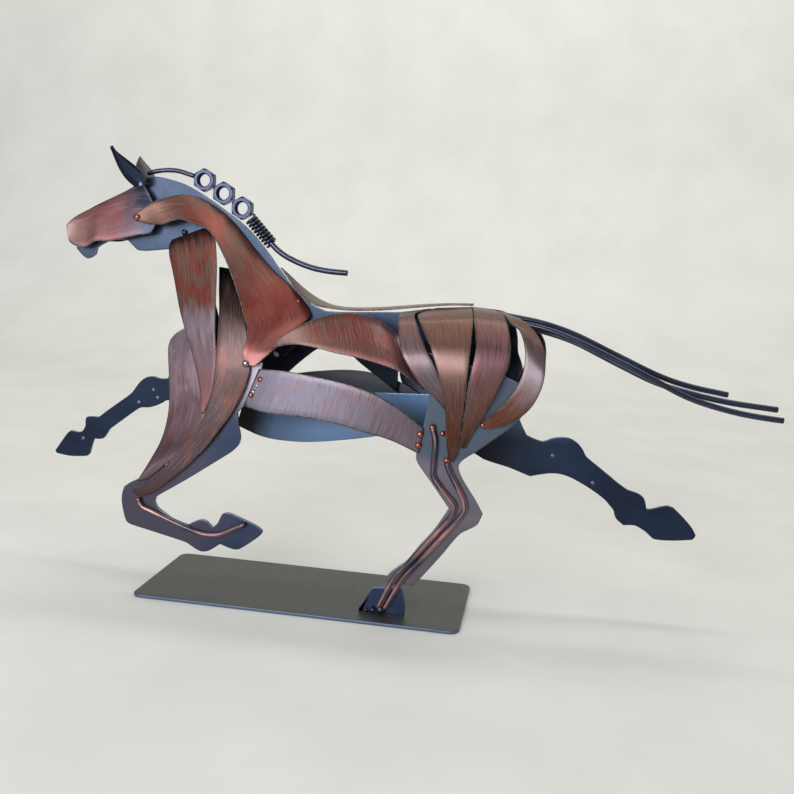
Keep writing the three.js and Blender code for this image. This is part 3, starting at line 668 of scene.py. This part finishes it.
def tinted_rod(name, base, tint, amount, roughness=0.3):
    """Round rod in dark enamel with a coppery tint worn through along its length."""
    f = Finish(name)
    grain = f.attribute("grain")
    rub_and_sheen = f.noise(f.scaled(grain, (0.04, 0.7, 0.7)), detail=4.0, roughness=0.6)
    specks = f.noise(f.scaled(grain, (0.5, 1.4, 1.4)), detail=2.0)
    colour = f.mix(f.ramp(rub_and_sheen, 0.42, 0.62, 0.0, amount), srgb(*base), srgb(*tint))
    colour = f.mix(f.ramp(specks, 0.6, 0.75, 0.0, 0.4), colour, srgb(22, 24, 34))
    f.set(Base_Color=colour)
    f.set(Metallic=0.6)
    f.set(Roughness=f.ramp(specks, 0.3, 0.7, roughness - 0.04, roughness + 0.12))
    f.set(Coat_Weight=0.4, Coat_Roughness=0.12)
    f.bump(specks, 0.2, 0.08 * MM)
    return f.material


def plain_metal(name, colour, other, roughness, metallic, grain_mm=1.5):
    """Metal with a fine two-colour mottle, for beads, nuts and cut edges."""
    f = Finish(name)
    mottle = f.noise(f.scaled(f.object_mm(), (1 / grain_mm,) * 3), detail=3.0)
    f.set(Base_Color=f.mix(f.ramp(mottle, 0.38, 0.64), srgb(*colour), srgb(*other)))
    f.set(Metallic=metallic)
    f.set(Roughness=f.ramp(mottle, 0.3, 0.7, roughness - 0.05, roughness + 0.08))
    f.bump(mottle, 0.3, 0.12 * MM)
    return f.material


# LAVENDER_PAINTED_SHEEN is a painted highlight colour: the window's reflection across the middle of the haunch
# strips.
TAN, LAVENDER_PAINTED_SHEEN = (132, 98, 82), (126, 114, 120)
# RUST and UMBER_WITH_PAINTED_SHADE are the strips' own orange-brown and dark brown, made darker as painted shade
# where they end the haunch strips low down.
RUST, UMBER_WITH_PAINTED_SHADE = (116, 56, 32), (62, 36, 26)

inside = enamel("inside_navy", (10, 15, 26), (22, 32, 52), roughness=0.42, use_place=False)
# Painted shade on the lining of the belly strips: black towards the front end and dark along the upper edge,
# paling to blue-grey across the width.
barrel_lining_painted_shade = painted_shade_lining("barrel_lining_painted_shade", [(0, (5, 7, 12)), (0.35, (12, 20, 38)),
                                                (0.6, (66, 90, 124)), (1, (84, 110, 144))], front=0.2)
cut_edge = plain_metal("cut_edge", (66, 54, 54), (126, 104, 98), 0.42, 0.6)
navy = enamel("navy_plate", (38, 48, 66), (54, 66, 86))
hoof_navy = enamel("hoof_plate", (30, 42, 66), (48, 62, 90))
# A darker copy of the navy plate colours for the far legs, whose faces towards the camera lie in the body's
# shade: painted shade.
far_navy_painted_shade = enamel("far_plate_painted_shade", (14, 26, 44), (24, 40, 64))
# Painted light on the far hind plate: near black towards its front as a painted shadow, paler blue towards its
# top as a painted reflection.
far_thigh_painted_light = enamel("far_hind_plate_painted_light", (16, 28, 48), (28, 44, 68),
                   fades=[(0, 152, 104, (8, 12, 22)), (2, 106, 132, (82, 108, 138))])
# Its fade to pale lavender towards the top, between z 112 and 142 mm, is a painted highlight.
foreleg_blue_painted_sheen = enamel("foreleg_plate", (38, 50, 72), (66, 66, 82), roughness=0.34,
                      fades=[(0, -44, -68, (66, 62, 76)), (2, 112, 142, (150, 140, 152))])
hindleg_steel = enamel("hindleg_plate", (84, 80, 90), (108, 98, 106), roughness=0.34,
                       fades=[(2, 98, 106, (60, 70, 82))])
# The base's bluish edge colour is a painted highlight along its edges.
base_satin = enamel("base_satin", (56, 57, 54), (64, 65, 62), roughness=0.45, metallic=0.3,
                    mottle=0.35, rub_and_sheen=(84, 104, 140))
ear_navy = enamel("ear_navy", (20, 30, 58), (42, 56, 88), roughness=0.2, coat=0.5, use_place=False)
far_ear = enamel("far_ear", (66, 62, 62), (92, 86, 84), roughness=0.4, use_place=False)
dark_rod = tinted_rod("dark_rod", (22, 28, 48), (50, 62, 92), 0.5, roughness=0.24)
leg_rod = tinted_rod("leg_rod", (46, 46, 64), (168, 122, 112), 0.85)
nut_finish = plain_metal("nut_finish", (20, 27, 46), (42, 54, 82), 0.26, 0.6)
rivet_finish = plain_metal("rivet_copper", (168, 96, 76), (110, 60, 52), 0.22, 0.85)
silver_finish = plain_metal("rivet_silver", (170, 160, 158), (104, 92, 94), 0.22, 0.85)
weld_finish = plain_metal("weld_bead", (26, 30, 44), (66, 62, 74), 0.26, 0.7, 0.9)


# ---------------------------------------------------------------- the horse

UP, FRONT = (0, 0, 1), (-1, 0, 0)

STRIP_LOOKS = {
    "neck_strip": dict(stops=[(0, (140, 104, 90)), (0.3, (146, 96, 84)), (0.5, (150, 106, 88)),
                              (0.75, (184, 92, 78)), (1, (150, 92, 88))],
                       red=(170, 74, 56), red_amount=0.75, red_at=(0.12, 0.98), seed=1.3),
    # The pale lavender band a little past the middle of the throat strip is a painted reflection of the window.
    "throat_strip": dict(stops=[(0, (72, 44, 38)), (0.1, (136, 90, 76)), (0.4, (140, 104, 92)),
                                (0.52, (178, 158, 170)), (0.62, (150, 124, 132)), (1, (140, 78, 66))],
                         red=(158, 66, 44), red_amount=0.8, red_at=(0.0, 0.5), seed=2.1),
    "chest_strip": dict(stops=[(0, (206, 188, 202)), (0.25, (174, 150, 160)), (0.6, (136, 104, 110)),
                               (1, (88, 70, 82))],
                        red=(132, 78, 84), red_amount=0.5, seed=3.7),
    # The shoulder strip's near-black top end is painted shade.
    "shoulder_strip": dict(stops=[(0, (36, 26, 26)), (0.14, (70, 46, 40)), (0.35, (94, 66, 60)),
                                  (0.55, (86, 64, 64)), (0.75, (90, 72, 80)), (1, (84, 58, 54))],
                           red=(134, 70, 54), red_amount=0.45, red_at=(0.2, 0.9), seed=4.9),
    "flank_strip": dict(stops=[(0, (86, 60, 50)), (0.3, (112, 74, 62)), (0.6, (112, 68, 60)),
                               (0.85, (72, 46, 42)), (1, (54, 34, 32))],
                        red=(136, 60, 50), red_amount=0.6, red_at=(0.2, 0.9), across=True, seed=5.3),
    "belly_strip": dict(stops=[(0, (140, 134, 150)), (0.4, (142, 134, 148)), (0.75, (134, 120, 134)),
                               (1, (124, 106, 116))],
                        red=(150, 116, 122), red_amount=0.5, across=True, seed=6.1),
    # The pale lavender and pink middles of the haunch strips are painted highlight, the window's reflection put
    # into their tint.
    "haunch_strip_1": dict(stops=[(0, (104, 74, 62)), (0.25, (122, 90, 78)), (0.5, LAVENDER_PAINTED_SHEEN),
                                  (0.72, (112, 90, 96)), (1, (76, 50, 42))],
                           red=(140, 86, 82), red_amount=0.4, seed=7.7),
    # The dark rust and umber lower ends of haunch strips 2 to 4 are their own brown darkened as painted shade
    # from the dark room below.
    "haunch_strip_2": dict(stops=[(0, (104, 74, 60)), (0.25, (128, 90, 70)), (0.5, (130, 94, 84)),
                                  (0.68, (110, 78, 68)), (0.85, RUST), (1, UMBER_WITH_PAINTED_SHADE)],
                           red=(140, 62, 44), red_amount=0.55, red_at=(0.0, 0.4), seed=8.9),
    "haunch_strip_3": dict(stops=[(0, (104, 74, 62)), (0.25, (124, 86, 76)), (0.45, (130, 94, 100)),
                                  (0.7, (132, 92, 84)), (0.9, (112, 60, 42)), (1, UMBER_WITH_PAINTED_SHADE)],
                           red=(146, 70, 72), red_amount=0.5, red_at=(0.25, 0.7), seed=10.3),
    "haunch_strip_4": dict(stops=[(0, (100, 72, 60)), (0.25, (122, 74, 54)), (0.45, (124, 106, 110)),
                                  (0.6, (128, 110, 116)), (0.78, (112, 68, 50)), (1, (112, 56, 30))],
                           red=(140, 74, 48), red_amount=0.6, red_at=(0.1, 0.4), seed=11.9),
}
LEVEL = {"flank_strip", "belly_strip"}

for side_name, side in (("left", LEFT), ("right", RIGHT)):
    for strip_name, look in STRIP_LOOKS.items():
        node = f"{side_name}_{strip_name}"
        outside = brushed(node, **look)
        start = FRONT if strip_name in LEVEL else UP
        lining = barrel_lining_painted_shade if strip_name == "belly_strip" else inside
        sheet(node, start, (0, side, 0), [outside, lining, cut_edge])
    cheek = brushed(f"{side_name}_cheek", stops=[(0, (132, 104, 98)), (0.3, (150, 102, 98)), (0.6, (142, 98, 98)),
                                                 (0.76, (118, 98, 112)), (0.86, (66, 74, 96)), (1, (50, 62, 88))],
                    red=(156, 78, 84), red_amount=0.5, red_at=(0.1, 0.7), seed=12.7)
    sheet(f"{side_name}_cheek_plate", FRONT, (0, side, 0), [cheek, inside, cut_edge])

saddle = brushed("saddle", stops=[(0, (96, 74, 64)), (0.4, (132, 106, 92)), (0.7, TAN), (1, (70, 48, 42))],
                 red_amount=0.2, seed=13.9)
sheet("saddle_strip", FRONT, UP, [saddle, inside, cut_edge])

plate("spine_plate", navy)
plate("left_foreleg_plate", foreleg_blue_painted_sheen)
plate("left_hindleg_plate", hindleg_steel)
plate("left_hind_hoof_plate", hoof_navy)
plate("right_foreleg_plate", far_navy_painted_shade)
plate("right_hindleg_plate", far_thigh_painted_light)
plate("base_plate", base_satin, bevel=0.5 * MM, edge_sheen_band=0.5 * MM, lying=True)
leaf("left_ear", ear_navy)
leaf("right_ear", far_ear)

for node in ("mane_front_rod", "mane_rear_rod", "tail_rod_1", "tail_rod_2", "tail_rod_3"):
    rod(node, 8, dark_rod)
for node in ("left_foreleg_rod", "right_foreleg_rod", "left_hindleg_front_rod",
             "left_hindleg_rear_rod", "right_hindleg_front_rod", "right_hindleg_rear_rod"):
    rod(node, 8, leg_rod)
rod("mane_spring", 6, dark_rod, sides=12, name="coil")
for number in (1, 2, 3):
    nut(f"mane_nut_{number}", nut_finish)


# Rivet heads and weld beads on the near side, at x, y and z in millimetres.
COPPER_BEADS = {
    "crest_bead": ((-62.6, -1.6, 231.0), 2.0), "withers_bead": ((-13.7, -4.0, 183.5), 1.7),
    "belly_front_upper": ((-28.0, -28.5, 137.3), 2.0), "belly_front_lower": ((-33.4, -28.5, 127.6), 1.9),
    "belly_rear_upper": ((68.5, -28.5, 113.1), 2.1), "belly_rear_lower": ((67.9, -28.5, 106.5), 2.1),
    "stifle_bead": ((75.6, -29.2, 117.8), 2.0), "stifle_spot": ((81.6, -28.2, 114.6), 1.6),
    "rear_rod_bead": ((85.0, -29.0, 99.2), 1.8), "fore_rod_bead": ((-102.2, -29.4, 57.2), 1.5),
}
for name, (centre, radius) in COPPER_BEADS.items():
    bead(name, centre, radius, rivet_finish, height=0.75)
for side_name, side in (("left", LEFT), ("right", RIGHT)):
    facing = (0, side, 0)
    bead(f"{side_name}_neck_bolt", (-115.3, side * 10.2, 228.0), 2.3, rivet_finish, facing)
    bead(f"{side_name}_neck_rivet", (-36.2, side * 32.8, 146.6), 2.2, silver_finish, facing,
         height=0.7)
    bead(f"{side_name}_haunch_rivet", (104.4, side * 30.1, 121.8), 1.5, rivet_finish, facing)
WELD_BEADS = {
    "poll_weld": ((-111.9, -1.2, 248.1), 1.5), "throat_weld": ((-88.2, -1.4, 220.6), 1.9),
    "hoof_weld_rods": ((51.6, -29.4, 5.0), 2.8), "hoof_weld_front": ((46.8, -28.2, 4.0), 1.9),
    "hoof_weld_toe": ((42.6, -27.6, 3.2), 1.3), "foreleg_tip_weld": ((-35.0, -28.6, 48.2), 1.7),
}
for number, (name, (centre, radius)) in enumerate(WELD_BEADS.items()):
    bead(name, centre, radius, weld_finish, height=0.8, lumps=0.12, seed=number)
BELLY_WELDS = 4
for number in range(BELLY_WELDS):
    share = (number + 1) / (BELLY_WELDS + 1)
    centre = (-28.0 - 5.4 * share, -28.4, 137.3 - 9.7 * share)
    bead(f"belly_weld_{number + 1}", centre, 1.2, silver_finish, lumps=0.1, seed=number)
FAR_PLATE_FACE = 25.0
FAR_SPOTS = {"fore": [(-117, 117), (-114, 112), (-127, 108), (-166, 80)], "hind": [(146, 97), (172, 82)]}
for leg, spots in FAR_SPOTS.items():
    for number, (x, z) in enumerate(spots):
        bead(f"far_{leg}_spot_{number + 1}", (x, FAR_PLATE_FACE, z), 1.3, far_navy_painted_shade, height=0.3)


# ---------------------------------------------------------------- stage, light and camera

def area_light(name, place, target, size, power, colour):
    data = bpy.data.lights.new(name, "AREA")
    data.shape = "RECTANGLE"
    data.size, data.size_y = size
    data.energy = power
    data.color = colour
    light = bpy.data.objects.new(name, data)
    light.location = place
    light.rotation_euler = (Vector(target) - Vector(place)).to_track_quat("-Z", "Y").to_euler()
    bpy.context.scene.collection.objects.link(light)


def studio():
    """A pale floor that curves up into a backdrop."""
    near, far, bend, height, half_width, steps = -2.0, 0.9, 0.5, 2.6, 3.0, 12
    profile = [(near, 0), (far, 0)]
    for k in range(1, steps + 1):
        t = math.radians(90 * k / steps)
        profile.append((far + bend * math.sin(t), bend - bend * math.cos(t)))
    profile.append((far + bend, height))
    vertices = [(x, y, z) for y, z in profile for x in (-half_width, half_width)]
    faces = [(2 * i, 2 * i + 1, 2 * i + 3, 2 * i + 2) for i in range(len(profile) - 1)]
    mesh = bpy.data.meshes.new("floor")
    mesh.from_pydata(vertices, [], faces)
    for polygon in mesh.polygons:
        polygon.use_smooth = True
    f = Finish("pale_floor")
    cloud = f.noise(f.object_mm(), 0.01, 3.0)
    f.set(Base_Color=f.mix(f.ramp(cloud, 0.3, 0.7), srgb(214, 213, 206), srgb(220, 219, 212)))
    f.set(Roughness=0.8)
    mesh.materials.append(f.material)
    floor = bpy.data.objects.new("floor", mesh)
    bpy.context.scene.collection.objects.link(floor)


studio()
area_light("window", (-0.35, -1.5, 0.5), (0, 0, 0.14), (1.0, 0.6), 24, (0.9, 0.94, 1.0))
area_light("ceiling", (0.2, -0.2, 1.6), (0, 0.1, 0.1), (1.4, 1.0), 5, (1.0, 0.97, 0.93))
area_light("wall_wash", (0, 0.5, 1.7), (0, 1.4, 0.5), (2.4, 0.4), 16, (1.0, 0.99, 0.97))

world = bpy.data.worlds.new("room")
world.use_nodes = True
world.node_tree.nodes["Background"].inputs[0].default_value = (0.82, 0.84, 0.88, 1)
world.node_tree.nodes["Background"].inputs[1].default_value = 0.4
bpy.context.scene.world = world


def camera_axes(yaw, pitch, roll):
    """The camera's right, down and forward directions."""
    forward = Vector((math.sin(yaw) * math.cos(pitch), math.cos(yaw) * math.cos(pitch), -math.sin(pitch)))
    level = Vector((math.cos(yaw), -math.sin(yaw), 0))
    down = forward.cross(level)
    right = level * math.cos(roll) - down * math.sin(roll)
    down = level * math.sin(roll) + down * math.cos(roll)
    return right, down, forward


camera_data = bpy.data.cameras.new("camera")
camera_data.sensor_width = 36
camera_data.lens = 43.73
camera_data.clip_start = 0.01
camera = bpy.data.objects.new("camera", camera_data)
right, down, forward = camera_axes(math.radians(-8.51), math.radians(8.43), math.radians(3.5))
place = Matrix((right, -down, -forward)).transposed().to_4x4()
place.translation = Vector((0.1354, -0.5739, 0.2155))
camera.matrix_world = place
bpy.context.scene.collection.objects.link(camera)
bpy.context.scene.camera = camera
bpy.context.scene.view_settings.view_transform = "Standard"
